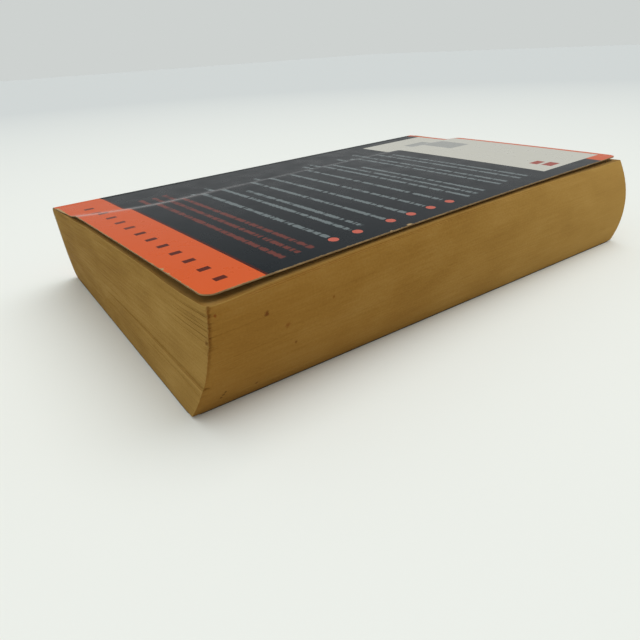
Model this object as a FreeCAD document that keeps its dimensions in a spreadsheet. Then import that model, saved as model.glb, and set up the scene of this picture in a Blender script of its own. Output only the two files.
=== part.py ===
"""Thick paperback book lying on its front cover.

The pages are a stack of equal sheets that has gone out of square: going down
from the top page, the stack turns about the vertical and slides sideways, its
fore edge bulges and its spine spreads at the foot. The card cover wraps the
stack at the spine and folds a little way in from it at both covers.

Row frame, millimetres: X runs from the spine to the fore edge, Y along the
spine from head to tail, Z up. The top page is square to the axes. The origin
is under the middle of the whole book, on the surface that it lies on.
"""
import FreeCAD
import Part
import math
import os
import Sketcher

DIMENSIONS = {
    "page_width": 108.0,
    "page_length": 178.0,
    "block_thickness": 29.95,
    "card": 0.35,
    "adhesive": 0.6,
    "shoulder_radius": 2.4,
    "hinge_strip": 5.0,
    "cover_play": 0.15,
    "twist": 4.1,
    "foot_slide_across": -2.0,
    "foot_slide_along": -0.3,
    "fore_bulge": 3.7,
    "foot_spread": 3.0,
    "middle_across": 2.8,
    "middle_along": 0.2,
    "back_fore_inset": 1.4,
    "back_end_inset": 0.7,
    "corner_radius": 3.0,
    "crease_distance": 29.0,
    "crease_width": 9.0,
    "crease_drift": 8.0,
    "crease_drift_length": 32.0,
    "back_lift": 1.75,
    "back_end_drop": 0.5,
    "back_fore_droop": 0.5,
}
# Shares of the block's thickness, and angles round its shoulders, at which the stack's outline is drawn.
INNER_SHARES = (0.16, 0.33, 0.5, 0.67, 0.84)
SHOULDER_ANGLES = (0, 22.5, 45, 67.5, 90)
# Spacing of the points that the lifted back cover is drawn through, and how far they run past its outline.
SHEET_STEP = 4.0
SHEET_MARGIN = 4.0
UPRIGHT_TOLERANCE = 0.01

document = FreeCAD.newDocument("paperback_book")
sheet = document.addObject("Spreadsheet::Sheet", "sizes")


def fill_sheet():
    """Write each driving dimension in its own row, under its own alias."""
    for row, (alias, value) in enumerate(DIMENSIONS.items(), start=1):
        sheet.set(f"A{row}", alias)
        sheet.set(f"B{row}", str(value))
        sheet.setAlias(f"B{row}", alias)
    document.recompute()


def size(alias):
    """Read a driving dimension back from the sheet."""
    return float(getattr(sheet, alias))


def plane_of(body, role):
    """Find one of a body's own origin planes by its role."""
    return next(part for part in body.Origin.OriginFeatures if part.Role == role)


def depth_at(height):
    """Write how deep a height lies in the stack: 0 at its top page and 1 at its bottom page."""
    return f"(1 - (({height}) - sizes.card) / sizes.block_thickness)"


def spine_spread(height):
    """Write how far the page at a height spreads out at the spine: most just above the bottom page."""
    depth = depth_at(height)
    return f"sizes.foot_spread * {depth}^2 * (5 - 4 * {depth})"


def fore_bulge(height):
    """Write how far the page at a height bulges out at the fore edge: most half-way up."""
    depth = depth_at(height)
    return f"sizes.fore_bulge * 4 * {depth} * (1 - {depth})"


def page_sketch(body, name, height):
    """Start a sketch on the page at a height: the pages turn and slide with their depth in the stack."""
    depth = depth_at(height)
    sketch = body.newObject("Sketcher::SketchObject", name)
    sketch.AttachmentSupport = (plane_of(body, "XY_Plane"), [""])
    sketch.MapMode = "FlatFace"
    sketch.setExpression(
        "AttachmentOffset.Base.x", f"sizes.middle_across + sizes.foot_slide_across * {depth}")
    sketch.setExpression(
        "AttachmentOffset.Base.y", f"sizes.middle_along + sizes.foot_slide_along * {depth}")
    sketch.setExpression("AttachmentOffset.Base.z", height)
    sketch.setExpression("AttachmentOffset.Rotation.Angle", f"-1 * sizes.twist * {depth}")
    return sketch


def add_rectangle(sketch, spine_side, width, head_side, length):
    """Draw a rectangle: two sides by their distance from the sketch's origin, and its width and length."""
    half_width = size("page_width") / 2
    half_length = size("page_length") / 2
    corners = [
        FreeCAD.Vector(side * half_width, end * half_length, 0)
        for side, end in ((-1, -1), (1, -1), (1, 1), (-1, 1))
    ]
    for start, end in zip(corners, corners[1:] + corners[:1]):
        sketch.addGeometry(Part.LineSegment(start, end), False)
    for line in range(4):
        sketch.addConstraint(Sketcher.Constraint("Coincident", line, 2, (line + 1) % 4, 1))
    for line in (0, 2):
        sketch.addConstraint(Sketcher.Constraint("Horizontal", line))
    for line in (1, 3):
        sketch.addConstraint(Sketcher.Constraint("Vertical", line))
    distances = (
        ("DistanceX", 0, 1, -1, 1, half_width, spine_side),
        ("DistanceX", 0, 1, 0, 2, 2 * half_width, width),
        ("DistanceY", 0, 1, -1, 1, half_length, head_side),
        ("DistanceY", 1, 1, 1, 2, 2 * half_length, length),
    )
    for kind, first, first_end, second, second_end, value, expression in distances:
        constraint = Sketcher.Constraint(kind, first, first_end, second, second_end, value)
        sketch.setExpression(f"Constraints[{sketch.addConstraint(constraint)}]", expression)


def shoulder_levels(face, inward, radius):
    """List the outlines that round a shoulder off, from the flat face inwards: height and inset."""
    levels = []
    for angle in SHOULDER_ANGLES:
        rise = 1 - math.cos(math.radians(angle))
        inset = 1 - math.sin(math.radians(angle))
        levels.append((f"({face}) + {inward} * ({radius}) * {rise}", f"({radius}) * {inset}"))
    return levels


def stack_levels(low, high, radius):
    """List the outlines of a stack between two heights, from the bottom up: height and inset.

    The inset draws the spine side in near both ends, where the stack has round shoulders.
    """
    middle = [(f"sizes.card + sizes.block_thickness * {share}", "0") for share in INNER_SHARES]
    return shoulder_levels(low, 1, radius) + middle + shoulder_levels(high, -1, radius)[::-1]


def stack_body(label, low, high, growth, radius, reach=None, overhang="0"):
    """Loft a body through the outlines of the page stack between two heights.

    growth is what the body adds at the spine, and radius rounds its shoulders there. reach is how far it goes
    in from the block's own spine side, or None for the whole page, and overhang is what it adds past the head
    and the tail. All are expressions.
    """
    body = document.addObject("PartDesign::Body", label)
    sketches = []
    for number, (height, inset) in enumerate(stack_levels(low, high, radius)):
        sketch = page_sketch(body, f"{label}_outline_{number}", height)
        spread = spine_spread(height)
        inside = f"({reach})" if reach else f"sizes.page_width + {spread} + {fore_bulge(height)}"
        outside = f"({growth}) - {inset}"
        add_rectangle(
            sketch, f"sizes.page_width / 2 + {spread} + {outside}", f"{inside} + {outside}",
            f"sizes.page_length / 2 + {overhang}", f"sizes.page_length + 2 * ({overhang})")
        sketches.append(sketch)
    document.recompute()
    loft = body.newObject("PartDesign::AdditiveLoft", f"{label}_stack")
    loft.Profile = sketches[0]
    loft.Sections = sketches[1:]
    loft.Ruled = True
    body.Tip = loft
    document.recompute()
    return body


def boolean(kind, label, base, tool):
    """Make a cut or common of two objects."""
    result = document.addObject(kind, label)
    result.Base = base
    result.Tool = tool
    document.recompute()
    return result


def corner_edges(shape):
    """Find the two upright edges of a panel at its fore corners."""
    upright = [
        (edge.CenterOfMass.x, f"Edge{number}")
        for number, edge in enumerate(shape.Edges, start=1)
        if edge.BoundBox.YLength < UPRIGHT_TOLERANCE and edge.BoundBox.ZLength > size("card") / 2
    ]
    return [name for _, name in sorted(upright)[-2:]]


def panel_body(label, height, fold, thickness, fore_inset="0", end_inset="0"):
    """Pad a flat panel up from the page at a height, with round fore corners.

    fold is how far the panel stays off the top page's spine side, and fore_inset and end_inset are how far
    its other edges stay inside the page. All are expressions.
    """
    body = document.addObject("PartDesign::Body", label)
    sketch = page_sketch(body, f"{label}_outline", height)
    add_rectangle(
        sketch, f"sizes.page_width / 2 - ({fold})", f"sizes.page_width - ({fold}) - ({fore_inset})",
        f"sizes.page_length / 2 - ({end_inset})", f"sizes.page_length - 2 * ({end_inset})")
    document.recompute()
    pad = body.newObject("PartDesign::Pad", f"{label}_card")
    pad.Profile = sketch
    pad.setExpression("Length", thickness)
    document.recompute()
    rounding = body.newObject("PartDesign::Fillet", f"{label}_corners")
    rounding.Base = (pad, corner_edges(pad.Shape))
    rounding.setExpression("Radius", "sizes.corner_radius")
    body.Tip = rounding
    document.recompute()
    return body


def smooth(share):
    """Ease from 0 to 1 with no kink at either end."""
    share = min(1.0, max(0.0, share))
    return share * share * (3 - 2 * share)


def back_rise(across, along):
    """Give the back cover's height over the block, from distances off its fold and off the head.

    It lies flat up to its crease, which drifts away from the spine behind the head, steps up over the crease,
    and sinks a little towards both ends and the fore edge.
    """
    drift = max(0.0, 1 - along / size("crease_drift_length"))
    crease = size("crease_distance") - size("crease_drift") * drift ** 2
    step = smooth((across - crease + size("crease_width")) / size("crease_width"))
    from_middle = 2 * along / size("page_length") - 1
    fore_edge = size("page_width") - size("hinge_strip")
    beyond = max(0.0, (across - crease) / (fore_edge - crease))
    lift = size("back_lift") - size("back_end_drop") * from_middle ** 2
    return step * (lift - size("back_fore_droop") * beyond ** 2)


def steps_over(length):
    """List even distances that cover a length and a margin past both of its ends."""
    whole = length + 2 * SHEET_MARGIN
    count = round(whole / SHEET_STEP)
    return [whole * step / count - SHEET_MARGIN for step in range(count + 1)]


def back_sheet():
    """Make the lifted back cover's card as one thin curved solid, a little larger than its outline."""
    fold = size("middle_across") - size("page_width") / 2 + size("hinge_strip")
    head = size("middle_along") - size("page_length") / 2
    underside = size("card") + size("block_thickness") + size("cover_play")
    surface = Part.BSplineSurface()
    surface.interpolate([
        [
            FreeCAD.Vector(fold + across, head + along, underside + back_rise(across, along))
            for along in steps_over(size("page_length"))
        ]
        for across in steps_over(size("page_width") - size("hinge_strip"))
    ])
    feature = document.addObject("Part::Feature", "back_sheet")
    feature.Shape = surface.toShape().extrude(FreeCAD.Vector(0, 0, size("card")))
    return feature


def check_states():
    """Stop at any object that failed to recompute."""
    for item in document.Objects:
        bad = [state for state in item.State if state in ("Invalid", "Error")]
        if bad:
            raise RuntimeError(f"{item.Label}: {bad}")


def write_parts(parts):
    """Check each sub-part's shape and write it under its label."""
    os.makedirs("parts", exist_ok=True)
    for part in parts:
        if part.Shape.isNull() or not part.Shape.isValid() or len(part.Shape.Solids) != 1:
            raise RuntimeError(f"{part.Label}: bad shape, {len(part.Shape.Solids)} solids")
        part.Shape.exportStep(f"parts/{part.Label}.step")
        box = part.Shape.BoundBox
        print(
            f"{part.Label}: volume {part.Shape.Volume:.1f}, x {box.XMin:.2f} {box.XMax:.2f}, "
            f"y {box.YMin:.2f} {box.YMax:.2f}, z {box.ZMin:.2f} {box.ZMax:.2f}")


fill_sheet()
block_low = "sizes.card"
block_high = "sizes.card + sizes.block_thickness"
inner_radius = "sizes.shoulder_radius + sizes.adhesive"
outer_growth = "sizes.adhesive + sizes.card"
outer_radius = f"{inner_radius} + sizes.card"
panel_fold = "sizes.hinge_strip + sizes.cover_play"
tool_reach = "2 * sizes.hinge_strip"
tool_overhang = "sizes.hinge_strip"
text_block = stack_body("text_block", block_low, block_high, "0", "sizes.shoulder_radius")

# The glue fills what is left between the pages and the card round the spine.
page_tool = stack_body(
    "page_tool", block_low, block_high, "0", "sizes.shoulder_radius", tool_reach, tool_overhang)
glue_tool = stack_body(
    "glue_tool", block_low, block_high, "sizes.adhesive", inner_radius, tool_reach, tool_overhang)
card_wrap = stack_body(
    "card_wrap", "0", f"{block_high} + sizes.card", outer_growth, outer_radius, "sizes.hinge_strip")
cover_spine = boolean("Part::Cut", "cover_spine", card_wrap, glue_tool)
glue_wrap = boolean("Part::Common", "glue_wrap", glue_tool, card_wrap)
spine_adhesive = boolean("Part::Cut", "spine_adhesive", glue_wrap, page_tool)

# The front cover lies flat under the bottom page, and the back cover stands off the top page.
front_cover = panel_body("front_cover", "0", f"{panel_fold} - {spine_spread('0')}", "sizes.card")
back_outline = panel_body(
    "back_outline", block_high, panel_fold, "sizes.cover_play + 2 * sizes.back_lift + sizes.card",
    "sizes.back_fore_inset", "sizes.back_end_inset")
back_cover = boolean("Part::Common", "back_cover", back_sheet(), back_outline)
document.recompute()
check_states()
write_parts([text_block, spine_adhesive, cover_spine, front_cover, back_cover])
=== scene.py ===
"""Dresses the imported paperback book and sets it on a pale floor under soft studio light.

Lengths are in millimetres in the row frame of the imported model, until a mesh is written: X runs from the
spine to the fore edge, Y along the spine from head to tail, Z up out of the back cover.
"""
import logging
import math
from dataclasses import dataclass
from enum import Enum

import bpy
import numpy as np
from mathutils import Matrix, Vector


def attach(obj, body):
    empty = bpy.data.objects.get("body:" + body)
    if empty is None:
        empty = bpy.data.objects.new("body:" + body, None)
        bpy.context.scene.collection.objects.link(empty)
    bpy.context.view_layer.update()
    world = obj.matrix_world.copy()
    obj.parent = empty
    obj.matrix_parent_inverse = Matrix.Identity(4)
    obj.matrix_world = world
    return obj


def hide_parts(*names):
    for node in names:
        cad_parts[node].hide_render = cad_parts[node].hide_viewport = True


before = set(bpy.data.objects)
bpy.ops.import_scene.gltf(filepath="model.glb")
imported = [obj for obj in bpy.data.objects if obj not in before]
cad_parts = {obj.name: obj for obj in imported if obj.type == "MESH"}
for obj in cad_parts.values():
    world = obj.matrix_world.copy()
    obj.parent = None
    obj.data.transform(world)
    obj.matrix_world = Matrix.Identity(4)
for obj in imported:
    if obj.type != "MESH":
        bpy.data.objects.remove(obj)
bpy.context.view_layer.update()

METRES = 0.001
Colour = tuple[float, float, float, float]
Tree = bpy.types.NodeTree
Socket = bpy.types.NodeSocket
Material = bpy.types.Material
LOG = logging.getLogger("paperback")


class Body(Enum):
    """The rigid bodies that the pieces ride on."""

    BLOCK = "block"
    FRONT = "front_cover"
    BACK = "back_cover"


class Slot(Enum):
    """The names of the material slots."""

    PAGES = "page_paper"
    GLUE = "binding_glue"
    SPINE = "spine_card"
    FRONT = "front_card"
    BACK = "back_card"


def linear(shade: str) -> Colour:
    """Turn an sRGB colour into the linear one that a shader takes.

    Args:
        shade: Six hex digits, with or without a leading hash.

    Returns:
        Red, green, blue and an alpha of 1.
    """
    digits = shade.lstrip("#")
    channels = [int(digits[start:start + 2], 16) / 255 for start in (0, 2, 4)]
    curved = [c / 12.92 if c <= 0.04045 else ((c + 0.055) / 1.055) ** 2.4 for c in channels]
    return (curved[0], curved[1], curved[2], 1.0)


def add(tree: Tree, kind: str, inputs: dict | None = None, out: int | str = 0,
        **settings) -> Socket | None:
    """Add a shader node with its settings and links.

    Args:
        tree: The node tree that takes it.
        kind: The node's type without its first word, such as Math.
        inputs: For each input, by name or number, a value or the output socket that feeds it.
        out: The output to give back, by name or number.
        **settings: The node's own properties, such as operation.

    Returns:
        The output's socket, or None where the node has no outputs.
    """
    node = tree.nodes.new("ShaderNode" + kind)
    for name, value in settings.items():
        setattr(node, name, value)
    for key, value in (inputs or {}).items():
        if isinstance(value, Socket):
            tree.links.new(value, node.inputs[key])
        else:
            node.inputs[key].default_value = value
    return node.outputs[out] if node.outputs else None


def smooth(share: np.ndarray) -> np.ndarray:
    """Ease each share from 0 to 1 with no kink at either end."""
    held = np.clip(share, 0.0, 1.0)
    return held * held * (3 - 2 * held)


@dataclass(frozen=True)
class PageStack:
    """The block of pages: equal sheets whose stack has turned, slid, bulged and spread."""

    page_width: float = 108.0
    page_length: float = 178.0
    thickness: float = 29.95
    card: float = 0.35
    adhesive: float = 0.6
    shoulder_radius: float = 2.4
    hinge_strip: float = 5.0
    cover_play: float = 0.15
    twist: float = 4.1
    foot_slide: tuple[float, float] = (-2.0, -0.3)
    fore_bulge: float = 3.7
    foot_spread: float = 3.0
    middle: tuple[float, float] = (2.8, 0.2)

    @property
    def top(self) -> float:
        """Height of the top page."""
        return self.card + self.thickness

    def depth(self, height: np.ndarray) -> np.ndarray:
        """Give how deep heights lie in the stack: 0 at its top page and 1 at its bottom page."""
        return 1 - (np.asarray(height, float) - self.card) / self.thickness

    def spine_side(self, height: np.ndarray) -> np.ndarray:
        """Give the page coordinate of the spine side at each height."""
        depth = self.depth(height)
        return -(self.page_width / 2 + self.foot_spread * depth ** 2 * (5 - 4 * depth))

    def fore_side(self, height: np.ndarray) -> np.ndarray:
        """Give the page coordinate of the fore edge at each height."""
        depth = self.depth(height)
        return self.page_width / 2 + self.fore_bulge * 4 * depth * (1 - depth)

    def place(self, across: np.ndarray, along: np.ndarray, height: np.ndarray,
              page: np.ndarray | None = None) -> np.ndarray:
        """Put points of the pages in the row frame.

        Args:
            across: Page coordinates from the middle of the page towards the fore edge.
            along: Page coordinates from the middle of the page towards the tail.
            height: Heights of the points.
            page: Heights of the pages whose turn and slide the points take, if not their own heights.

        Returns:
            One row of X, Y and Z for each point.
        """
        depth = self.depth(height if page is None else page)
        angle = np.radians(self.twist * depth)
        east = self.middle[0] + self.foot_slide[0] * depth + across * np.cos(angle) + along * np.sin(angle)
        north = self.middle[1] + self.foot_slide[1] * depth - across * np.sin(angle) + along * np.cos(angle)
        return np.stack(np.broadcast_arrays(east, north, height), axis=-1)


@dataclass
class Piece:
    """A mesh being gathered: its points, faces, finishes and a map of each corner in millimetres."""

    name: str
    points: np.ndarray
    faces: list
    finish_of_face: list
    chart: np.ndarray

    def make(self, finishes: list, body: Body, node: str) -> bpy.types.Object:
        """Write the mesh, dress it and hang it on its body.

        Args:
            finishes: The materials that finish_of_face counts in.
            body: The body that it rides on.
            node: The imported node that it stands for.

        Returns:
            The new object.
        """
        mesh = bpy.data.meshes.new(self.name)
        mesh.from_pydata((self.points * METRES).tolist(), [], self.faces)
        for finish in finishes:
            mesh.materials.append(finish)
        mesh.polygons.foreach_set("material_index", self.finish_of_face)
        layer = mesh.uv_layers.new(name="chart")
        corner_points = np.empty(len(mesh.loops), dtype=np.int32)
        mesh.loops.foreach_get("vertex_index", corner_points)
        layer.data.foreach_set("uv", self.chart[corner_points].astype(np.float32).ravel())
        mesh.validate()
        mesh.update()
        thing = bpy.data.objects.new(self.name, mesh)
        bpy.context.scene.collection.objects.link(thing)
        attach(thing, body.value)
        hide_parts(node)
        LOG.info("%s: %d faces on %s", self.name, len(mesh.polygons), body.value)
        return thing


def grid_faces(rows: int, columns: int, first: int = 0, closed: bool = False, flip: bool = False) -> list:
    """List the quads between the rows of a grid of points.

    Args:
        rows: Number of rows.
        columns: Points in each row.
        first: Number of the grid's first point.
        closed: Whether each row runs round in a ring.
        flip: Whether the faces look the other way.

    Returns:
        Point numbers of each quad.
    """
    faces = []
    for row in range(rows - 1):
        for column in range(columns if closed else columns - 1):
            beside = (column + 1) % columns
            low = first + row * columns
            high = low + columns
            quad = (low + column, low + beside, high + beside, high + column)
            faces.append(quad[::-1] if flip else quad)
    return faces


def card_faces(rows: int, columns: int) -> tuple[list, list, list]:
    """List the faces of a sheet of card between two grids of points, the lower one first.

    Args:
        rows: Number of rows of each grid.
        columns: Points in each row.

    Returns:
        The faces of its underside, of its upper side and of its cut edges, these from the first row round.
    """
    count = rows * columns
    corner = np.arange(count).reshape(rows, columns)
    rim = np.concatenate([corner[0], corner[1:, -1], corner[-1, -2::-1], corner[-2:0:-1, 0]]).tolist()
    side = [(a, b, b + count, a + count) for a, b in zip(rim, rim[1:] + rim[:1])]
    return grid_faces(rows, columns, flip=True), grid_faces(rows, columns, count), side


@dataclass(frozen=True)
class Chart:
    """A material's node tree with its page coordinates, in millimetres."""

    tree: Tree
    spot: Socket
    across: Socket
    along: Socket


def read_chart(tree: Tree) -> Chart:
    """Read the page coordinates that a piece's map carries.

    Args:
        tree: The material's node tree.

    Returns:
        The chart that the material's patterns are drawn on.
    """
    spot = add(tree, "UVMap", uv_map="chart")
    split = add(tree, "SeparateXYZ", {0: spot}).node
    return Chart(tree, spot, split.outputs[0], split.outputs[1])


def lay(tree: Tree, ground: Colour | Socket, layers: list) -> Socket:
    """Lay shades over a ground, one after the other.

    Args:
        tree: The material's node tree.
        ground: The colour underneath, or the socket that gives it.
        layers: For each layer the socket of its share and its sRGB shade.

    Returns:
        The socket of the finished colour.
    """
    colour = ground
    for share, shade in layers:
        colour = add(tree, "Mix", {0: share, 6: colour, 7: linear(shade)}, out=2, data_type="RGBA")
    return colour


@dataclass(frozen=True)
class Rectangle:
    """A plain printed field, by its sides in page coordinates."""

    across: tuple[float, float]
    along: tuple[float, float]
    ink: str

    def mask(self, chart: Chart) -> Socket:
        """Build the mask that is 1 on the field.

        Args:
            chart: The page coordinates that it is drawn in.

        Returns:
            The mask's socket.
        """
        sides = []
        for socket, (low, high) in ((chart.across, self.across), (chart.along, self.along)):
            limits = {0: socket, 1: (low + high) / 2, 2: (high - low) / 2}
            sides.append(add(chart.tree, "Math", limits, operation="COMPARE"))
        return add(chart.tree, "Math", {0: sides[0], 1: sides[1]}, operation="MULTIPLY")


@dataclass(frozen=True)
class Dot:
    """A round dot, spot or chip."""

    across: float
    along: float
    radius: float
    ink: str = ""

    def reach(self, chart: Chart) -> Socket:
        """Measure the distance off the dot's middle."""
        middle = (self.across, self.along, 0.0)
        return add(chart.tree, "VectorMath", {0: chart.spot, 1: middle}, out="Value", operation="DISTANCE")

    def mask(self, chart: Chart) -> Socket:
        """Build the mask that is 1 on the dot."""
        return add(chart.tree, "Math", {0: self.reach(chart), 1: self.radius}, operation="LESS_THAN")

    def frayed(self, chart: Chart, grain: Socket, rim: tuple[float, float],
               strength: float) -> Socket:
        """Build the mask of a dot whose rim is ragged.

        Args:
            chart: The page coordinates that it is drawn in.
            grain: The noise that frays it.
            rim: Where the mask starts and where it is full, in radii.
            strength: The mask's highest value.

        Returns:
            The mask's socket.
        """
        radius, (outer, inner) = self.radius, rim
        reach = self.reach(chart)
        ragged = add(chart.tree, "Math", {0: grain, 1: radius, 2: reach}, operation="MULTIPLY_ADD")
        return add(chart.tree, "MapRange", {0: ragged, 1: outer * radius, 2: inner * radius, 4: strength})


@dataclass(frozen=True)
class BrokenRow:
    """A thin printed row of uneven bars with gaps, as small print looks from a step away."""

    across: tuple[float, float]
    along: float
    height: float
    ink: str
    cell: float = 0.55
    gaps: float = 0.13
    least: float = 0.6
    density: float = 0.6

    def mask(self, chart: Chart) -> Socket:
        """Build the mask that rises to the ink's density on the row's bars.

        Args:
            chart: The page coordinates that it is drawn in.

        Returns:
            The mask's socket.
        """
        tree, half = chart.tree, self.height / 2
        shares = add(tree, "Math", {0: chart.across, 1: self.cell}, operation="DIVIDE")
        steps = add(tree, "Math", {0: shares}, operation="FLOOR")
        cell = add(tree, "CombineXYZ", {0: steps, 1: self.along})
        chance = add(tree, "TexWhiteNoise", {"Vector": cell}, noise_dimensions="2D")
        reach = add(tree, "MapRange", {0: chance, 1: self.gaps, 3: self.least * half, 4: half})
        inside = add(tree, "Math", {0: chart.along, 1: self.along, 2: reach}, operation="COMPARE")
        kept = add(tree, "Math", {0: chance, 1: self.gaps}, operation="GREATER_THAN")
        row = Rectangle(self.across, (self.along - half, self.along + half), self.ink).mask(chart)
        share = self.density
        for part in (inside, kept, row):
            share = add(tree, "Math", {0: part, 1: share}, operation="MULTIPLY")
        return share


@dataclass(frozen=True)
class Bars:
    """A run of equal short bars side by side, from the last one back."""

    first: float
    pitch: float
    count: int
    width: float
    along: tuple[float, float]
    ink: str

    def mask(self, chart: Chart) -> Socket:
        """Build the mask that is 1 on the bars.

        Args:
            chart: The page coordinates that they are drawn in.

        Returns:
            The mask's socket.
        """
        last = self.first - self.pitch * (self.count - 1)
        run = Rectangle((last - self.width, self.first + self.width), self.along, self.ink).mask(chart)
        tree, half = chart.tree, self.pitch / 2
        offset = add(tree, "Math", {0: chart.across, 1: self.first}, operation="SUBTRACT")
        nearest = add(tree, "Math", {0: offset, 1: half, 2: -half}, operation="WRAP")
        inside = add(tree, "Math", {0: nearest, 1: 0.0, 2: self.width / 2}, operation="COMPARE")
        return add(tree, "Math", {0: run, 1: inside}, operation="MULTIPLY")


@dataclass(frozen=True)
class CreaseSheen:
    """A painted sheen: a pale band along a crease's ridge, standing in for the gleam of its curve; the crease
    drifts towards the fold at the head.
    """

    across: float
    drift: float
    drift_end: float
    drift_length: float
    fade_end: float
    width: float
    strength: float
    ink: str

    def mask(self, chart: Chart) -> Socket:
        """Build the mask that rises to the strength on the crease.

        Args:
            chart: The page coordinates that it is drawn in.

        Returns:
            The mask's socket.
        """
        tree, head = chart.tree, self.drift_end - self.drift_length
        share = add(tree, "MapRange", {0: chart.along, 1: self.drift_end, 2: head})
        squared = add(tree, "Math", {0: share, 1: share}, operation="MULTIPLY")
        moved = add(tree, "Math", {0: squared, 1: self.drift, 2: chart.across}, operation="MULTIPLY_ADD")
        offset = add(tree, "Math", {0: moved, 1: self.across}, operation="SUBTRACT")
        reach = add(tree, "Math", {0: offset}, operation="ABSOLUTE")
        band = add(tree, "MapRange", {
            0: reach, 1: self.width, 2: 0.0, 4: self.strength}, interpolation_type="SMOOTHSTEP")
        fade = add(tree, "MapRange", {0: chart.along, 1: self.fade_end, 2: head})
        return add(tree, "Math", {0: band, 1: fade}, operation="MULTIPLY")


@dataclass(frozen=True)
class Finish:
    """A finish with the values that all of them share."""

    name: str
    roughness: float
    ior: float = 1.5
    specular: float = 0.5

    def start(self) -> tuple[Material, Tree, bpy.types.Node]:
        """Start a material with its own shader.

        Returns:
            The material, its node tree and its shader.
        """
        material = bpy.data.materials.new(self.name)
        material.use_nodes = True
        tree = material.node_tree
        tree.nodes.clear()
        shader = add(tree, "BsdfPrincipled", {
            "Roughness": self.roughness, "IOR": self.ior, "Specular IOR Level": self.specular})
        add(tree, "OutputMaterial", {"Surface": shader})
        return material, tree, shader.node

    def close(self, shader: bpy.types.Node, colour: Socket, relief: Socket, strength: float,
              height: float) -> None:
        """Give the shader its colour and its relief.

        Args:
            shader: The material's shader.
            colour: The socket of its colour.
            relief: The socket of its relief, from 0 to 1.
            strength: How strongly the relief shows.
            height: The relief's height in millimetres.
        """
        tree = shader.id_data
        bump = add(tree, "Bump", {"Height": relief, "Strength": strength, "Distance": height * METRES})
        tree.links.new(colour, shader.inputs["Base Color"])
        tree.links.new(bump, shader.inputs["Normal"])


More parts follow.
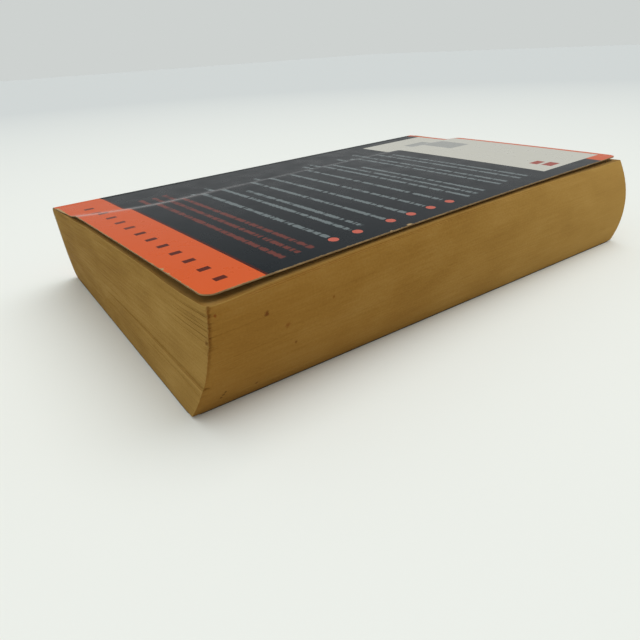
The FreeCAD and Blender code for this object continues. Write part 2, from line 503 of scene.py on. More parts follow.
@dataclass(frozen=True)
class PageEdges(Finish):
    """Guillotined edges of mechanical-pulp book paper.

    To the eye they are matt and faintly streaked along the leaves and browned by age. Along the fore edge a
    painted shade darkens them near the head corner and a painted light pales them towards the tail. Leaves
    are too thin to show, so the streaks are drawn at four times their thickness.
    """

    specular: float = 0.1
    light: str = "#B29050"
    middle: str = "#9A7636"
    dark: str = "#78541E"
    # painted shade: the fore edge darker near the head corner, where less light falls
    painted_near_shade: str = "#875B20"
    # painted light: the fore edge paler towards the tail, where more light falls
    painted_tail_light: str = "#B28B48"
    grime: str = "#64390E"
    corner: float = 108.0
    tail_corner: float = 286.0
    top: float = 30.3
    streak_pitch: float = 0.4
    streak_length: float = 20.0
    streak_shares: tuple[float, float] = (0.2, 0.12)
    streak_relief: float = 0.08
    stain_width: float = 9.0
    stain_share: float = 0.22
    grain_width: float = 0.625
    grain_share: float = 0.12
    ground_tone: float = 0.335
    near_shade_share: float = 0.62
    tail_light_start: float = 178.0
    tail_light_share: float = 0.6
    head_light_share: float = 0.3
    head_light_width: float = 60.0
    ledge_line: float = 13.4
    ledge_climb: float = 0.035
    ledge_highlight_width: float = 0.55
    ledge_highlight_share: float = 0.55
    rim_highlight_width: float = 0.35
    rim_highlight_share: float = 0.6
    rub_width: float = 1.15
    spots: tuple[Dot, ...] = ()

    def tone(self, chart: Chart, lines: Socket, grain: Socket,
             on_fore: Socket) -> Socket:
        """Colour the edges by their streaks, broad stains and grain.

        Args:
            chart: Distances round the page and heights.
            lines: The noise of the streaks.
            grain: The noise of the grain.
            on_fore: The mask that is 0 on the head edge and 1 past its corner.

        Returns:
            The colour's socket.
        """
        tree = chart.tree
        broad = add(tree, "VectorMath", {
            0: chart.spot, 1: (0.5 / self.stain_width, 1 / self.stain_width, 1.0)}, operation="MULTIPLY")
        stains = add(tree, "TexNoise", {
            "Vector": broad, "Scale": 1.0, "Detail": 5.0, "Roughness": 0.55}, noise_dimensions="2D")
        at_head, at_fore = self.streak_shares
        strength = add(tree, "MapRange", {0: on_fore, 3: at_head, 4: at_fore})
        offset = add(tree, "Math", {0: lines, 1: 0.5}, operation="SUBTRACT")
        streaks = add(tree, "Math", {0: offset, 1: strength}, operation="MULTIPLY")
        cloud = add(tree, "Math", {
            0: stains, 1: self.stain_share, 2: self.ground_tone}, operation="MULTIPLY_ADD")
        tone = add(tree, "Math", {0: cloud, 1: streaks}, operation="ADD")
        tone = add(tree, "Math", {0: grain, 1: self.grain_share, 2: tone}, operation="MULTIPLY_ADD")
        ramp = add(tree, "ValToRGB", {0: tone})
        stops = ramp.node.color_ramp.elements
        stops[0].position = 0.35
        stops[0].color = linear(self.dark)
        stops[1].position = 0.65
        stops[1].color = linear(self.light)
        stops.new(0.5).color = linear(self.middle)
        return ramp

    def fore_light_gradient(self, chart: Chart, on_fore: Socket) -> list:
        """List the fore edge's painted light: painted shade near its corner, painted light towards the tail.

        Args:
            chart: Distances round the page and heights.
            on_fore: The mask that is 0 on the head edge and 1 past its corner.

        Returns:
            The share and the shade of each layer.
        """
        tree = chart.tree
        # painted shade along the fore edge, strongest near its corner
        past = add(tree, "MapRange", {0: chart.across, 1: self.tail_corner - 20.0, 2: self.corner + 10.0})
        near_shade = add(tree, "Math", {0: past, 1: on_fore}, operation="MULTIPLY")
        near_shade = add(tree, "Math", {0: near_shade, 1: self.near_shade_share}, operation="MULTIPLY")
        # painted light along the fore edge towards the tail
        painted_tail_light = add(tree, "MapRange", {
            0: chart.across, 1: self.tail_light_start, 2: self.tail_corner, 4: self.tail_light_share})
        return [(near_shade, self.painted_near_shade), (painted_tail_light, self.painted_tail_light)]

    def lit(self, chart: Chart, on_fore: Socket) -> list:
        """List the painted highlights: on the head edge near its corner, on the ledge across it, and on the
        top page's rim.

        Args:
            chart: Distances round the page and heights.
            on_fore: The mask that is 0 on the head edge and 1 past its corner.

        Returns:
            The share and the shade of each layer.
        """
        tree = chart.tree
        # painted highlight: a pale line along the ledge across the head edge, where its top catches the light
        ledge_highlight = add(tree, "Math", {
            0: chart.across, 1: -self.ledge_climb, 2: self.ledge_line}, operation="MULTIPLY_ADD")
        ledge_highlight = add(tree, "Math", {0: chart.along, 1: ledge_highlight}, operation="SUBTRACT")
        ledge_highlight = add(tree, "Math", {0: ledge_highlight}, operation="ABSOLUTE")
        ledge_highlight = add(tree, "MapRange", {0: ledge_highlight, 1: self.ledge_highlight_width, 2: 0.1, 4: self.ledge_highlight_share})
        # painted light: the head edge paler towards its corner
        head = add(tree, "MapRange", {0: chart.across, 1: self.corner - self.head_light_width, 2: self.corner})
        head = add(tree, "Math", {0: head, 1: on_fore}, operation="SUBTRACT", use_clamp=True)
        head_light = add(tree, "Math", {0: head, 1: self.head_light_share}, operation="MULTIPLY")
        ledge_highlight = add(tree, "Math", {0: ledge_highlight, 1: head}, operation="MULTIPLY")
        # painted highlight: the top page's cut edge paler along its rim
        rim = add(tree, "MapRange", {
            0: chart.along, 1: self.top - self.rim_highlight_width, 2: self.top, 4: self.rim_highlight_share})
        return [(head_light, self.light), (ledge_highlight, self.light), (rim, self.light)]

    def darkened(self, chart: Chart, grain: Socket) -> list:
        """List the dark layers: the corner's rubbed line, heavier near the top, and the spots, which are rust
        spots and one painted shade in a notch.

        Args:
            chart: Distances round the page and heights.
            grain: The noise that frays them.

        Returns:
            The share and the shade of each layer.
        """
        tree = chart.tree
        reach = add(tree, "Math", {0: chart.across, 1: self.corner + 0.25}, operation="SUBTRACT")
        reach = add(tree, "Math", {0: reach}, operation="ABSOLUTE")
        ragged = add(tree, "Math", {0: grain, 1: 0.9, 2: reach}, operation="MULTIPLY_ADD")
        rubbed = add(tree, "MapRange", {0: ragged, 1: self.rub_width, 2: 0.45})
        upper = add(tree, "MapRange", {0: chart.along, 1: 10.0, 2: 24.0, 3: 0.1, 4: 0.7})
        rubbed = add(tree, "Math", {0: rubbed, 1: upper}, operation="MULTIPLY")
        return [(rubbed, self.grime)] + [
            (spot.frayed(chart, grain, rim=(1.5, 0.8), strength=0.8), spot.ink) for spot in self.spots]

    def build(self) -> Material:
        """Build the material; its chart holds distances round the page and heights.

        Returns:
            The new material.
        """
        material, tree, shader = self.start()
        chart = read_chart(tree)
        fine = add(tree, "VectorMath", {
            0: chart.spot, 1: (1 / self.streak_length, 1 / self.streak_pitch, 1.0)}, operation="MULTIPLY")
        lines = add(tree, "TexNoise", {
            "Vector": fine, "Scale": 1.0, "Detail": 3.0, "Roughness": 0.6}, noise_dimensions="2D")
        grain = add(tree, "TexNoise", {
            "Vector": chart.spot, "Scale": 1 / self.grain_width, "Detail": 3.0}, noise_dimensions="2D")
        on_fore = add(tree, "MapRange", {0: chart.across, 1: self.corner - 0.1, 2: self.corner + 0.1})
        layers = self.fore_light_gradient(chart, on_fore) + self.lit(chart, on_fore) + self.darkened(chart, grain)
        colour = lay(tree, self.tone(chart, lines, grain, on_fore), layers)
        self.close(shader, colour, lines, strength=0.35, height=self.streak_relief)
        return material


@dataclass(frozen=True)
class PageFace(Finish):
    """Uncoated book paper or the unprinted side of card, as it came off the paper machine.

    To the eye it is matt and cream, browned from its edges inwards, with a faint tooth.
    """

    specular: float = 0.1
    light: str = "#D0B478"
    browned: str = "#8A662E"
    rim: float = 11.0
    half_width: float = 54.0
    half_length: float = 89.0
    tooth: float = 0.5
    tooth_height: float = 0.05

    def build(self) -> Material:
        """Build the material: a browned rim that fades inwards over the rim's width.

        Returns:
            The new material.
        """
        material, tree, shader = self.start()
        chart = read_chart(tree)
        reaches = []
        for socket, half in ((chart.across, self.half_width), (chart.along, self.half_length)):
            size = add(tree, "Math", {0: socket}, operation="ABSOLUTE")
            reaches.append(add(tree, "Math", {0: half, 1: size}, operation="SUBTRACT"))
        inside = add(tree, "Math", {0: reaches[0], 1: reaches[1]}, operation="MINIMUM")
        cloud = add(tree, "TexNoise", {
            "Vector": chart.spot, "Scale": 1 / self.rim, "Detail": 5.0}, noise_dimensions="2D")
        ragged = add(tree, "Math", {0: cloud, 1: self.rim / 2, 2: inside}, operation="MULTIPLY_ADD")
        fade = add(tree, "MapRange", {0: ragged, 1: self.rim * 0.2, 2: self.rim * 1.6})
        colour = lay(tree, linear(self.browned), [(fade, self.light)])
        pulp = add(tree, "TexNoise", {
            "Vector": chart.spot, "Scale": 1 / self.tooth, "Detail": 4.0}, noise_dimensions="2D")
        self.close(shader, colour, pulp, strength=0.3, height=self.tooth_height)
        return material


@dataclass(frozen=True)
class VarnishedCard(Finish):
    """Offset-printed and varnished cover card.

    To the eye it is smooth, with a half gloss that clouds a little, and its edges are scuffed pale.
    """

    ground: str = "#262C31"
    core: str = "#AE9364"
    fields: tuple = ()
    chips: tuple[Dot, ...] = ()
    fore_side: float = 54.0
    half_length: float = 89.0
    wear: float = 0.34
    cloud_width: float = 25 / 3
    fray_width: float = 10 / 19
    ripple: float = 1.4
    ripple_height: float = 0.04

    def worn(self, chart: Chart, fray: Socket) -> Socket:
        """Build the mask of the scuffed fore edge and ends, and of the chips in them.

        Args:
            chart: The page coordinates that it is drawn in.
            fray: The noise that frays them.

        Returns:
            The mask's socket.
        """
        tree = chart.tree
        to_fore = add(tree, "Math", {0: self.fore_side, 1: chart.across}, operation="SUBTRACT")
        size = add(tree, "Math", {0: chart.along}, operation="ABSOLUTE")
        to_end = add(tree, "Math", {0: self.half_length, 1: size}, operation="SUBTRACT")
        inside = add(tree, "Math", {0: to_fore, 1: to_end}, operation="MINIMUM")
        frayed = add(tree, "Math", {0: fray, 1: -2.2 * self.wear, 2: inside}, operation="MULTIPLY_ADD")
        mask = add(tree, "MapRange", {0: frayed, 1: -0.75 * self.wear, 2: -1.0 * self.wear})
        for chip in self.chips:
            bare = chip.frayed(chart, fray, rim=(1.6, 1.3), strength=1.0)
            mask = add(tree, "Math", {0: mask, 1: bare}, operation="MAXIMUM")
        return mask

    def build(self) -> Material:
        """Build the material: printed fields on the ground, then the wear and the varnish's ripple.

        Returns:
            The new material.
        """
        material, tree, shader = self.start()
        chart = read_chart(tree)
        cloud = add(tree, "TexNoise", {
            "Vector": chart.spot, "Scale": 1 / self.cloud_width, "Detail": 5.0}, noise_dimensions="2D")
        fray = add(tree, "TexNoise", {
            "Vector": chart.spot, "Scale": 1 / self.fray_width, "Detail": 4.0, "Roughness": 0.7},
            noise_dimensions="2D")
        worn = self.worn(chart, fray)
        layers = [(field.mask(chart), field.ink) for field in self.fields]
        colour = lay(tree, linear(self.ground), layers + [(worn, self.core)])
        gloss = add(tree, "MapRange", {
            0: cloud, 1: 0.3, 2: 0.7, 3: self.roughness - 0.02, 4: self.roughness + 0.04})
        rough = add(tree, "Mix", {0: worn, 2: gloss, 3: 0.8})
        waves = add(tree, "TexNoise", {
            "Vector": chart.spot, "Scale": 1 / self.ripple, "Detail": 2.0}, noise_dimensions="2D")
        tree.links.new(rough, shader.inputs["Roughness"])
        self.close(shader, colour, waves, strength=0.04, height=self.ripple_height)
        return material


@dataclass(frozen=True)
class PlainStock(Finish):
    """Cut card edges, or hot-melt glue as it set: to the eye one clouded colour with a fine grain."""

    light: str = "#CDBF98"
    dark: str = "#A98F5C"
    cloud_width: float = 8.0
    grain_width: float = 0.4
    grain_height: float = 0.03

    def build(self) -> Material:
        """Build the material: clouds between its two colours and a grain in its relief.

        Returns:
            The new material.
        """
        material, tree, shader = self.start()
        spot = add(tree, "TexCoord", out="Object")
        noises = [
            add(tree, "TexNoise", {"Vector": spot, "Scale": 1 / (width * METRES), "Detail": detail})
            for width, detail in ((self.cloud_width, 5.0), (self.grain_width, 3.0))]
        share = add(tree, "MapRange", {0: noises[0], 1: 0.25, 2: 0.75})
        colour = lay(tree, linear(self.dark), [(share, self.light)])
        self.close(shader, colour, noises[1], strength=0.4, height=self.grain_height)
        return material


@dataclass(frozen=True)
class PageBlock:
    """The pages, drawn as bundles of leaves whose edges stand in and out of line."""

    stack: PageStack
    bundles: int = 110
    across_steps: int = 54
    along_steps: int = 88
    line_up: float = 0.05
    line_up_shares: tuple[float, float, float] = (0.5, 0.6, 0.12)
    edge_waves: tuple[float, ...] = (190.0, 74.0, 31.0)
    fan: float = 0.32
    fan_reach: float = 26.0
    fan_depth: float = 11.0
    fan_least: float = 0.66
    ledge_height: float = 9.6
    ledge_climb: float = 0.035
    ledge_step: float = 0.55
    ledge_ease: float = 0.8
    ledge_reach: float = 75.0
    ledge_fade: float = 12.0
    groove_depth: float = 0.12
    groove_drop: float = 1.3
    groove_width: float = 0.35
    groove_reach: float = 60.0
    worn_corner: float = 1.6
    worn_depth: float = 1.2
    worn_size: float = 0.48
    fore_slump: float = 0.8
    slump_depth: float = 1.0
    slump_start: float = 3.0
    slump_ease: float = 12.0
    slump_end: float = 60.0
    dent_height: float = 21.5
    dent_size: float = 0.45
    dent_spread: tuple[float, float] = (1.6, 0.9)
    seed: int = 11
    fore_wave_reach: float = 16.0
    head_wave_reach: float = 14.0
    # Heights over the flat top page of its fore edge and of its head edge, at distances from the near corner.
    fore_wave: tuple = (
        (0, -0.45), (7, -0.45), (14, -0.2), (24, 0.0), (34, 0.2), (45, 0.4), (75, 0.6), (115, 0.55),
        (137, 0.3), (155, -0.05), (178, -0.3))
    head_wave: tuple = (
        (0, -0.45), (5, -0.9), (11, -1.2), (20, -0.65), (26, -0.2), (32, -0.05), (44, 0.1), (58, 0.4),
        (72, 0.6), (80, 0.35), (90, 0.0), (108, 0.0))

    def top_rise(self, from_fore: np.ndarray, from_head: np.ndarray) -> np.ndarray:
        """Give how far the top page stands over or under its flat place.

        Args:
            from_fore: Distances off the fore edge.
            from_head: Distances off the head.

        Returns:
            Rises in millimetres.
        """
        fore_line = np.interp(from_head, *zip(*self.fore_wave))
        head_line = np.interp(from_fore, *zip(*self.head_wave))
        near_fore = np.exp(-(from_fore / self.fore_wave_reach) ** 2)
        near_head = np.exp(-(from_head / self.head_wave_reach) ** 2)
        return (fore_line * near_fore + head_line * near_head) / np.maximum(1.0, near_fore + near_head)

    def ring(self) -> tuple[np.ndarray, np.ndarray, np.ndarray, np.ndarray]:
        """List the points round a page, from its corner of spine and head.

        Returns:
            Shares across and along, then which way the edge faces across and along.
        """
        across = np.linspace(0, 1, self.across_steps + 1)
        along = np.linspace(0, 1, self.along_steps + 1)
        share_across = np.concatenate([
            across[:-1], np.ones(self.along_steps), across[:0:-1], np.zeros(self.along_steps)])
        share_along = np.concatenate([
            np.zeros(self.across_steps), along[:-1], np.ones(self.across_steps), along[:0:-1]])
        facing = [(share == 1).astype(float) - (share == 0) for share in (share_across, share_along)]
        return share_across, share_along, facing[0], facing[1]

    def line_up_of(self, heights: np.ndarray, distance: np.ndarray, from_corner: np.ndarray,
                   at_head: np.ndarray) -> np.ndarray:
        """Give how far each bundle stands back from the nominal edge round the page.

        Args:
            heights: The bundles' middle heights.
            distance: Distances round the page.
            from_corner: Distances off the corner between the head and the fore edge.
            at_head: 1 where a point is on the head, 0 elsewhere.

        Returns:
            One row of distances for each bundle.
        """
        chance = np.random.default_rng(self.seed)
        count = len(heights)
        jitter = chance.uniform(0, 1, count)
        phases = chance.uniform(0, 2 * math.pi, (count, 3))
        drift = np.cumsum(chance.normal(0, 0.5, count))
        drift = (drift - drift.min()) / (drift.max() - drift.min())
        waves = sum(
            np.sin(distance * 2 * math.pi / wave + phases[:, number, None] * 0.5)
            for number, wave in enumerate(self.edge_waves))
        of_jitter, of_drift, of_waves = self.line_up_shares
        unevenness = of_jitter * jitter[:, None] + of_drift * drift[:, None] + of_waves * (waves + 3)
        back = self.line_up * unevenness
        level, top = heights[:, None], self.stack.top
        fanned = smooth(1 - from_corner / self.fan_reach) * smooth(1 - (top - level) / self.fan_depth)
        gaps = np.where((jitter > self.fan_least) & (heights < top - 1.0), jitter, 0.1)[:, None]
        back += self.fan * fanned * gaps * (0.2 + 0.8 * at_head)
        over = level - self.ledge_height - self.ledge_climb * from_corner
        step = smooth(over / self.ledge_ease) * smooth(1 - over / self.ledge_fade)
        back += self.ledge_step * step * smooth(1 - from_corner / self.ledge_reach) * at_head
        groove = np.exp(-((over + self.groove_drop) / self.groove_width) ** 2)
        back += self.groove_depth * groove * smooth(1 - from_corner / self.groove_reach) * at_head
        worn = smooth(1 - (top - level) / self.worn_depth) * smooth(1 - from_corner / self.worn_corner)
        back += self.worn_size * worn
        width, length = self.stack.page_width, self.stack.page_length
        on_fore = (distance >= width) & (distance <= width + length) & (at_head < 1)
        slump = smooth((from_corner - self.slump_start) / self.slump_ease)
        slump *= smooth((length - from_corner) / self.slump_end) * on_fore
        back += self.fore_slump * smooth(1 - (top - level) / self.slump_depth) * slump
        reach, rise = self.dent_spread
        dent = np.exp(-((level - self.dent_height) / rise) ** 2 - (from_corner / reach) ** 2)
        return back + self.dent_size * dent

    def rows(self) -> tuple[np.ndarray, np.ndarray]:
        """Work out every point round the bundles.

        Returns:
            The points, and their places on the chart: distances round the page and heights.
        """
        stack = self.stack
        share_across, share_along, facing_across, facing_along = self.ring()
        from_head = share_along * stack.page_length
        from_fore = (1 - share_across) * stack.page_width
        from_corner = np.hypot(from_fore, from_head)
        steps = np.hypot(np.diff(from_fore, prepend=from_fore[0]), np.diff(from_head, prepend=0.0))
        distance = np.cumsum(steps)
        levels = np.linspace(stack.card, stack.top, self.bundles + 1)
        middles = (levels[:-1] + levels[1:]) / 2
        back = self.line_up_of(middles, distance, from_corner, (share_along == 0).astype(float))
        rise = self.top_rise(from_fore, from_head)
        points, chart = [], []
        for number in range(self.bundles):
            for level in (levels[number], levels[number + 1]):
                spine, fore = stack.spine_side(level), stack.fore_side(level)
                across = spine + (fore - spine) * share_across - facing_across * back[number]
                along = (share_along - 0.5) * stack.page_length - facing_along * back[number]
                shoulder = self.shoulder(level)
                across = np.where(share_across == 0, across + shoulder, across)
                lifted = level + rise * smooth((level - stack.card) / stack.thickness) ** 2
                points.append(stack.place(across, along, lifted, page=level))
                chart.append(np.stack([distance, np.full_like(distance, level)], axis=-1))
        return np.concatenate(points), np.concatenate(chart)

    def shoulder(self, level: float) -> float:
        """Give how far the round shoulders draw the spine side in.

        Args:
            level: The height.

        Returns:
            The distance in millimetres.
        """
        radius = self.stack.shoulder_radius
        reach = min(level - self.stack.card, self.stack.top - level)
        if reach >= radius:
            return 0.0
        return radius - math.sqrt(max(0.0, radius ** 2 - (radius - reach) ** 2))

    def cap(self, height: float, rim: np.ndarray) -> tuple[np.ndarray, np.ndarray]:
        """Work out the grid of points over the top or under the bottom page.

        Args:
            height: The page's height.
            rim: The ring of points that the page's edges already have.

        Returns:
            The grid's points and their places on the chart.
        """
        stack = self.stack
        columns, rows = self.across_steps + 1, self.along_steps + 1
        head = rim[:columns]
        fore = rim[self.across_steps:self.across_steps + rows]
        tail = rim[self.across_steps + self.along_steps:2 * self.across_steps + self.along_steps + 1][::-1]
        spine = np.concatenate([rim[2 * self.across_steps + self.along_steps:], rim[:1]])[::-1]
        u = np.linspace(0, 1, columns)[None, :, None]
        v = np.linspace(0, 1, rows)[:, None, None]
        grid = (1 - u) * spine[:, None] + u * fore[:, None] + (1 - v) * head[None] + v * tail[None]
        grid -= (1 - v) * ((1 - u) * head[0] + u * head[-1]) + v * ((1 - u) * tail[0] + u * tail[-1])
        from_fore = (1 - u[..., 0]) * stack.page_width * np.ones_like(v[..., 0])
        from_head = v[..., 0] * stack.page_length * np.ones_like(u[..., 0])
        if height > stack.card + stack.thickness / 2:
            inner = height + self.top_rise(from_fore, from_head)
            grid[1:-1, 1:-1, 2] = inner[1:-1, 1:-1]
        chart = np.stack([stack.page_width / 2 - from_fore, from_head - stack.page_length / 2], axis=-1)
        return grid.reshape(-1, 3), chart.reshape(-1, 2)

    def build(self, edges: Material, face: Material) -> bpy.types.Object:
        """Build the pages.

        Args:
            edges: The finish of their cut edges.
            face: The finish of the top and bottom page.

        Returns:
            The new object.
        """
        points, chart = self.rows()
        around = 2 * (self.across_steps + self.along_steps)
        rings = 2 * self.bundles
        faces = grid_faces(rings, around, closed=True)
        finish_of_face = [0] * len(faces)
        ends = ((self.stack.top, points[-around:], False), (self.stack.card, points[:around], True))
        for height, rim, flip in ends:
            grid, grid_chart = self.cap(height, rim)
            first = len(points)
            cap_faces = grid_faces(self.along_steps + 1, self.across_steps + 1, first, flip=flip)
            points = np.concatenate([points, grid])
            chart = np.concatenate([chart, grid_chart])
            faces += cap_faces
            finish_of_face += [1] * len(cap_faces)
        piece = Piece("page_block", points, faces, finish_of_face, chart)
        return piece.make([edges, face], Body.BLOCK, "text_block")


@dataclass(frozen=True)
class CoverPanel:
    """One cover: a sheet of card with round fore corners, flat or lifted off the pages."""

    name: str
    stack: PageStack
    body: Body
    slot: Slot
    page: float
    underside: float
    fold: float
    fore_inset: float = 0.0
    end_inset: float = 0.0
    corner_radius: float = 3.0
    back_lift: float = 0.0
    crease_distance: float = 29.0
    crease_width: float = 9.0
    crease_drift: float = 8.0
    crease_drift_length: float = 32.0
    end_drop: float = 0.5
    fore_droop: float = 0.5
    eased_width: float = 14.0
    step: float = 1.25

    def rise(self, across: np.ndarray, along: np.ndarray) -> np.ndarray:
        """Give the card's height over the pages.

        Args:
            across: Distances off the fold.
            along: Distances off the head.

        Returns:
            Rises in millimetres, 0 on a flat cover.
        """
        if not self.back_lift:
            return np.zeros_like(across)
        drift = np.maximum(0.0, 1 - along / self.crease_drift_length)
        crease = self.crease_distance - self.crease_drift * drift ** 2
        over = smooth((across - crease + self.crease_width) / self.crease_width)
        from_middle = 2 * along / self.stack.page_length - 1
        fore_edge = self.stack.page_width - self.stack.hinge_strip
        beyond = np.maximum(0.0, (across - crease) / (fore_edge - crease))
        lift = self.back_lift - self.end_drop * from_middle ** 2
        return over * (lift - self.fore_droop * beyond ** 2)

    def build(self, outside: Material, inside: Material, core: Material, node: str) -> bpy.types.Object:
        """Build the cover.

        Args:
            outside: The printed finish.
            inside: The finish of the side that faces the pages.
            core: The finish of the cut edges.
            node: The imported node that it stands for.

        Returns:
            The new object.
        """
        stack = self.stack
        fore = stack.page_width / 2 - self.fore_inset
        half = stack.page_length / 2 - self.end_inset
        straight = np.linspace(self.fold, fore - self.corner_radius, round((fore - self.fold) / self.step))
        turn = np.radians(np.linspace(0, 90, 10))[1:]
        round_off = fore - self.corner_radius + self.corner_radius * np.sin(turn)
        columns = np.concatenate([straight, round_off])
        inset = np.concatenate([np.zeros_like(straight), self.corner_radius * (1 - np.cos(turn))])
        rows = round(2 * half / self.step)
        share = np.linspace(-1, 1, rows + 1)[:, None]
        ends = half + self.end_inset * (1 - smooth((columns - self.fold) / self.eased_width))
        along = share * (ends - inset)[None, :]
        across = np.broadcast_to(columns[None, :], along.shape)
        rise = self.rise(across + stack.page_width / 2 - stack.hinge_strip, along + stack.page_length / 2)
        low = self.underside + rise
        high = low + stack.card
        up_is_outside = self.body is Body.BACK
        chart_of = np.stack([across, along], axis=-1).reshape(-1, 2)
        points = np.concatenate([
            stack.place(across, along, level, page=np.full_like(level, self.page)).reshape(-1, 3)
            for level in (low, high)])
        chart = np.concatenate([chart_of, chart_of])
        under, over, side = card_faces(rows + 1, len(columns))
        finish_of_face = [int(up_is_outside)] * len(under) + [int(not up_is_outside)] * len(over)
        finish_of_face += [2] * (len(side) - rows) + [0] * rows
        piece = Piece(self.name, points, under + over + side, finish_of_face, chart)
        return piece.make([outside, inside, core], self.body, node)


@dataclass(frozen=True)
class SpineCard:
    """The card round the spine, from fold to fold, with its round shoulders."""

    stack: PageStack
    shoulder_steps: int = 12
    wall_steps: int = 26
    strip_steps: int = 3
    let_in: float = 0.06
    along_steps: int = 90

    def profile(self, growth: float, low: float, high: float, radius: float) -> tuple[np.ndarray, np.ndarray]:
        """Trace the card's face round the spine, from the top strip's end to the bottom strip's.

        Args:
            growth: How far the face stands outside the pages.
            low: Height of the face under the pages.
            high: Height of the face over the pages.
            radius: Radius of its shoulders.

        Returns:
            The heights and the page coordinates across.
        """
        turn = np.radians(np.linspace(0, 90, self.shoulder_steps + 1))
        drop = radius * (1 - np.cos(turn))
        inset = radius * (1 - np.sin(turn))
        wall = np.linspace(high - radius, low + radius, self.wall_steps + 1)[1:-1]
        heights = np.concatenate([high - drop, wall, (low + drop)[::-1]])
        insets = np.concatenate([inset, np.zeros_like(wall), inset[::-1]])
        across = self.stack.spine_side(heights) - growth + insets
        for end, level in ((0, high), (-1, low)):
            strip_end = self.stack.spine_side(level) + self.stack.hinge_strip
            strip = np.linspace(strip_end, across[end], self.strip_steps + 1)[:-1]
            flat = np.full_like(strip, level)
            if end == 0:
                heights, across = np.concatenate([flat, heights]), np.concatenate([strip, across])
            else:
                heights, across = np.concatenate([heights, flat]), np.concatenate([across, strip[::-1]])
        return heights, across

    def build(self, outside: Material, inside: Material,
              core: Material) -> bpy.types.Object:
        """Build the card.

        Args:
            outside: The printed finish.
            inside: The finish of the side that faces the pages.
            core: The finish of the cut edges.

        Returns:
            The new object.
        """
        stack = self.stack
        inner = self.profile(stack.adhesive, stack.card, stack.top, stack.shoulder_radius + stack.adhesive)
        outer = self.profile(
            stack.adhesive + stack.card - self.let_in, 0.0, stack.top + stack.card,
            stack.shoulder_radius + stack.adhesive + stack.card)
        along = np.linspace(-0.5, 0.5, self.along_steps + 1)[:, None] * stack.page_length
        points, chart = [], []
        for heights, across in (inner, outer):
            girth = np.concatenate([[0.0], np.cumsum(np.hypot(np.diff(heights), np.diff(across)))])
            shape = (self.along_steps + 1, len(heights))
            parts = (across[None], along, heights[None], girth[None])
            spread = [np.broadcast_to(values, shape) for values in parts]
            points.append(stack.place(*spread[:3]).reshape(-1, 3))
            chart.append(np.stack([spread[3], spread[1]], axis=-1).reshape(-1, 2))
        columns = len(outer[0])
        within, around, side = card_faces(self.along_steps + 1, columns)
        finish_of_face = [1] * len(within) + [0] * len(around)
        finish_of_face += ([2] * (columns - 1) + [0] * self.along_steps) * 2
        faces = within + around + side
        piece = Piece("spine_card", np.concatenate(points), faces, finish_of_face, np.concatenate(chart))
        return piece.make([outside, inside, core], Body.BLOCK, "cover_spine")


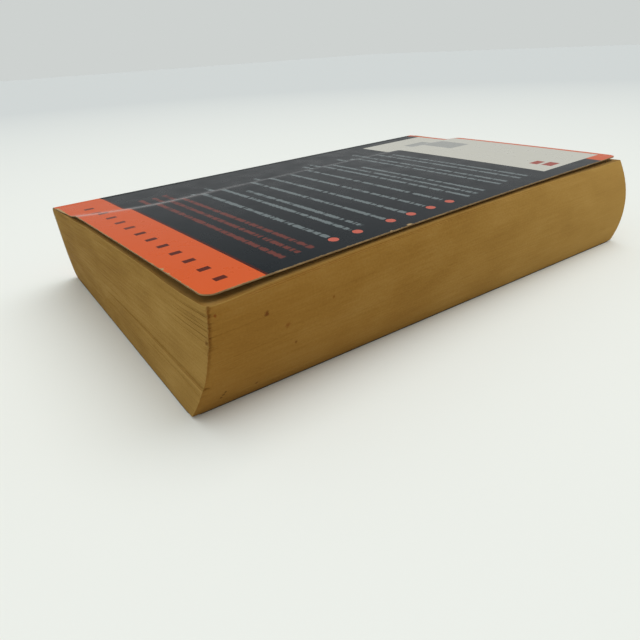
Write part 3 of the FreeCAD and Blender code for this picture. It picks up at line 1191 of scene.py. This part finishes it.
@dataclass(frozen=True)
class Studio:
    """The floor, the lamps and the camera."""

    floor_size: float = 6.0
    floor_near: str = "#EBEDE6"
    floor_far: str = "#CED2D0"
    camera_place: tuple = (143.58, -128.46, 74.28)
    camera_azimuth: float = 51.969
    camera_elevation: float = 27.574
    camera_roll: float = -3.258
    focal_pixels: float = 523.9
    image_pixels: float = 640.0
    sensor: float = 36.0
    floor_fade: tuple[float, float] = (0.1, 0.9)
    world_shade: str = "#F5F7F7"
    world_strength: float = 0.66
    glare_low: float = 0.56
    glare_high: float = 0.02
    glare_heights: tuple[float, float] = (0.12, 0.4)
    sun_shade: str = "#FBFCFF"
    sun_strength: float = 1.5
    sun_spread: float = 60.0
    sun_from: tuple = (0.05, 0.34, 1.0)

    def make_floor(self) -> None:
        """Lay a matt paper sweep, flat under the book, with painted shade that makes it a little darker far
        behind it.
        """
        mesh = bpy.data.meshes.new("floor")
        half = self.floor_size / 2
        corners = [(-half, -half, 0), (half, -half, 0), (half, half, 0), (-half, half, 0)]
        mesh.from_pydata(corners, [], [(0, 1, 2, 3)])
        floor = bpy.data.objects.new("floor", mesh)
        bpy.context.scene.collection.objects.link(floor)
        material, tree, shader = Finish("matt_studio_paper", roughness=0.9, specular=0.0).start()
        spot = add(tree, "TexCoord", out="Object")
        reach = add(tree, "VectorMath", {0: spot}, out="Value", operation="LENGTH")
        # painted shade: the floor darkens with distance from the book, standing in for the falloff of the
        # light
        start, end = self.floor_fade
        fade = add(tree, "MapRange", {0: reach, 1: start, 2: end})
        colour = lay(tree, linear(self.floor_near), [(fade, self.floor_far)])
        tree.links.new(colour, shader.inputs["Base Color"])
        mesh.materials.append(material)

    def make_world(self) -> None:
        """Surround the book with even pale light, dimmer overhead in its gleam, and a plain backdrop."""
        world = bpy.data.worlds.new("studio")
        bpy.context.scene.world = world
        world.use_nodes = True
        tree = world.node_tree
        tree.nodes.clear()
        sky = add(tree, "SeparateXYZ", {0: add(tree, "TexCoord", out="Generated")}, out=2)
        low, high = self.glare_heights
        level = add(tree, "MapRange", {0: sky, 1: low, 2: high, 3: self.glare_low, 4: self.glare_high})
        seen = add(tree, "Background", {0: linear(self.world_shade), 1: self.world_strength})
        path = add(tree, "LightPath").node
        for ray, shade, strength in (
                ("Is Glossy Ray", self.world_shade, level), ("Is Camera Ray", self.floor_far, 1.0)):
            other = add(tree, "Background", {0: linear(shade), 1: strength})
            seen = add(tree, "MixShader", {0: path.outputs[ray], 1: seen, 2: other})
        add(tree, "OutputWorld", {"Surface": seen})

    def make_sun(self) -> None:
        """Light the book from above and behind, as wide and soft as a bright ceiling."""
        lamp = bpy.data.lights.new("ceiling", "SUN")
        lamp.energy = self.sun_strength
        lamp.angle = math.radians(self.sun_spread)
        lamp.color = linear(self.sun_shade)[:3]
        holder = bpy.data.objects.new("ceiling", lamp)
        holder.rotation_euler = Vector(self.sun_from).to_track_quat("Z", "Y").to_euler()
        bpy.context.scene.collection.objects.link(holder)

    def make_camera(self) -> None:
        """Stand the camera at the photograph's viewpoint."""
        angles = (self.camera_azimuth, self.camera_elevation, self.camera_roll)
        azimuth, elevation, roll = map(math.radians, angles)
        level = math.cos(elevation)
        back = Vector((math.sin(azimuth) * level, -math.cos(azimuth) * level, math.sin(elevation)))
        right = (-back).cross(Vector((0, 0, 1))).normalized()
        up = right.cross(-back)
        rolled_right = right * math.cos(roll) + up * math.sin(roll)
        rolled_up = up * math.cos(roll) - right * math.sin(roll)
        lens = bpy.data.cameras.new("camera")
        lens.sensor_width = self.sensor
        lens.lens = self.sensor * self.focal_pixels / self.image_pixels
        lens.clip_start = 0.01
        camera = bpy.data.objects.new("camera", lens)
        turned = Matrix((rolled_right, rolled_up, back)).transposed().to_4x4()
        camera.matrix_world = Matrix.Translation(Vector(self.camera_place) * METRES) @ turned
        bpy.context.scene.collection.objects.link(camera)
        bpy.context.scene.camera = camera

    def build(self) -> None:
        """Build the floor, the light and the camera."""
        bpy.context.scene.view_settings.view_transform = "Standard"
        self.make_floor()
        self.make_world()
        self.make_sun()
        self.make_camera()
        LOG.info("studio built")


ORANGE = "#DA5C25"
NAVY = "#1C2226"
PALE_PRINT = "#8B9797"
RED_PRINT = "#8C4235"
CREAM_PRINT = "#CFCDC0"


def back_print() -> tuple:
    """List the back cover's printed fields, in page coordinates.

    Returns:
        The fields, from the ground up.
    """
    strip_end, panel_start, tail_strip, fore_margin = -73.4, 47.0, 86.0, 46.6
    fields = [
        Rectangle((-60, 60), (-95, strip_end), ORANGE),
        Rectangle((-60, 60), (strip_end, strip_end + 0.75), "#4E1A12"),
        Bars(46.6, 7.1, 7, 1.9, (-82.8, -79.8), "#5E2010"),
        Bars(-3.4, 7.1, 6, 1.9, (-82.8, -79.8), "#74301E"),
        Rectangle((-44.0, fore_margin), (panel_start, 90), CREAM_PRINT),
        Rectangle((-60, 60), (tail_strip, 95), ORANGE),
        Rectangle((fore_margin, 60), (76.0, 95), ORANGE),
        Rectangle((-33.0, -6.0), (63.0, 76.0), "#A7A8A2"),
        Rectangle((35.6, 38.8), (55.6, 61.4), "#A8483A"),
        Rectangle((40.2, 44.0), (56.0, 62.4), "#A8483A"),
    ]
    for along in (-65.0, -60.5, -56.4):
        fields.append(BrokenRow((-36.0, 47.2), along, 1.9, RED_PRINT))
    rows = (
        (-49.0, -30.0, 44.2), (-41.5, -34.0, 44.2), (-37.0, -12.0, 43.6), (-29.2, -26.0, 44.4),
        (-21.2, -32.0, 44.6), (-12.8, -20.0, 44.2), (-4.4, -28.0, 43.6), (3.9, -34.0, 47.4),
        (8.1, -36.0, 47.0), (12.3, -8.0, 46.6), (22.4, -34.0, 45.6), (26.6, -30.0, 45.2), (33.3, -36.0, 46.0),
        (37.5, -16.0, 46.0),
    )
    for along, start, end in rows:
        fields.append(BrokenRow((start, end), along, 1.9, PALE_PRINT))
    # painted sheen along the crease ridge of the back cover
    fields.append(CreaseSheen(
        across=-21.5, drift=8.0, drift_end=-57.0, drift_length=32.0, fade_end=-25.0, width=3.4, strength=0.42,
        ink="#C4BDB8"))
    for along in (-49.2, -41.1, -29.0, -21.0, -12.7, -4.3):
        fields.append(Dot(46.4, along, 1.4, "#CB6350"))
    return tuple(fields)


def build_book() -> None:
    """Build the book's pieces in order, from the pages out."""
    stack = PageStack()
    edges = PageEdges("guillotined_book_paper_edges", roughness=0.85, spots=(
        Dot(122.1, 24.4, 0.75, "#5E2E0C"), Dot(109.8, 28.2, 0.5, "#7A3E12"), Dot(131.3, 13.7, 0.5, "#6B3F14"),
        Dot(123.4, 4.2, 0.5, "#5A3210"), Dot(114.6, 6.1, 0.4, "#4A2A0A"), Dot(114.3, 5.2, 0.5, "#4A2A0A"),
        # Dot(107.2, 22.4) is painted shade in the notch of the page edges at the corner; the other dots are
        # rust spots.
        Dot(114.0, 4.2, 0.45, "#4A2A0A"), Dot(107.2, 22.4, 0.9, "#6B4416"), Dot(141.0, 22.0, 0.5, "#7A4A18"),
        Dot(128.0, 19.5, 0.9, "#7F4E1C"))).build()
    face = PageFace("uncoated_book_paper", roughness=0.9).build()
    core = PlainStock(
        "cut_card_edge", roughness=0.85, light="#A08358", dark="#6E5430", cloud_width=3.0).build()
    # The front cover's cut edge is dark stock as painted shade: the contact shade where the cover lies on the
    # floor.
    darkened = PlainStock(
        "painted_shade_card_edge", roughness=0.85, light="#54462F", dark="#2C261C", cloud_width=5.0).build()
    inside = PageFace(
        "unprinted_card_inside", roughness=0.75, light="#D2BE90", browned="#A98548", rim=6.0).build()
    glue = PlainStock(
        "hot_melt_binding_glue", roughness=0.55, light="#C9B98C", dark="#A58F5E", grain_height=0.08).build()
    PageBlock(stack).build(edges, face)
    band = Rectangle((-60, 120), (-95, -73.4), ORANGE)
    tail_band = Rectangle((-60, 120), (86.2, 95), ORANGE)
    back = VarnishedCard(
        "varnished_back_card", roughness=0.28, ground=NAVY, fields=back_print(),
        fore_side=52.6, half_length=88.3,
        chips=(Dot(52.5, -28.0, 0.9), Dot(52.6, -35.0, 0.5), Dot(52.6, -50.0, 0.3), Dot(32.5, -88.3, 0.7),
               Dot(36.0, -88.3, 0.45))).build()
    front = VarnishedCard(
        "varnished_front_card", roughness=0.38, ground=NAVY, fields=(band, tail_band)).build()
    spine = VarnishedCard(
        "varnished_spine_card", roughness=0.4, ground=NAVY, fields=(band, tail_band), fore_side=200.0).build()
    SpineCard(stack).build(spine, inside, core)
    fold = -stack.page_width / 2 + stack.hinge_strip + stack.cover_play
    CoverPanel(
        "back_cover_card", stack, Body.BACK, Slot.BACK, page=stack.top,
        underside=stack.top + stack.cover_play, fold=fold, fore_inset=1.4, end_inset=0.7,
        back_lift=1.75).build(back, inside, core, "back_cover")
    front_fold = float(stack.spine_side(0.0)) + stack.hinge_strip + stack.cover_play
    CoverPanel(
        "front_cover_card", stack, Body.FRONT, Slot.FRONT, page=0.0, underside=0.0,
        fold=front_fold).build(front, inside, darkened, "front_cover")
    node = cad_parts["spine_adhesive"]
    node.data.materials.clear()
    node.data.materials.append(glue)
    LOG.info("spine_adhesive: kept, with its own finish")


def main() -> None:
    """Build the book and its studio."""
    logging.basicConfig(level=logging.INFO, format="%(name)s: %(message)s")
    build_book()
    Studio().build()


if __name__ == "__main__":
    main()
